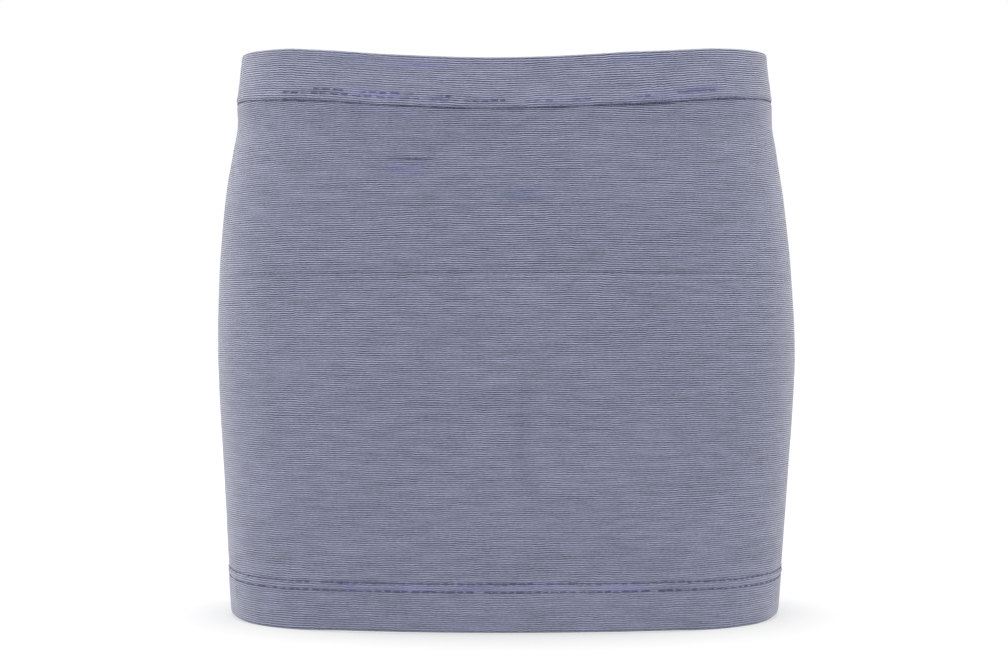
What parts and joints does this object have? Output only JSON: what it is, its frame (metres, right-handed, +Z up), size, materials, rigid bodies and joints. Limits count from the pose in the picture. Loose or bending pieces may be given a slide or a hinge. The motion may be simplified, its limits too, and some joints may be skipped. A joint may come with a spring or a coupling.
{
  "type": "ribbed mini skirt",
  "caption": "Pull-on mini skirt in fine horizontally ribbed jersey, in its hollow worn shape, with a folded waistband and a hem sewn with two parallel rows.",
  "frame": {"origin": "middle of the waist opening, level with the top edge at the side seams", "axes": "+Z up out of the waist opening, the front faces -Y, +X towards the side seam on the viewer's right"},
  "size_m": [0.3562, 0.2445, 0.349],
  "materials": {
    "ribbed_jersey": "matt, soft, with fine raised cross ribs",
    "sewing_thread": "matt twisted thread"
  },
  "bodies": {
    "root": {"skirt_front": "ribbed_jersey", "skirt_back": "ribbed_jersey", "waistband_front": "ribbed_jersey", "waistband_back": "ribbed_jersey"}
  },
  "joints": []
}
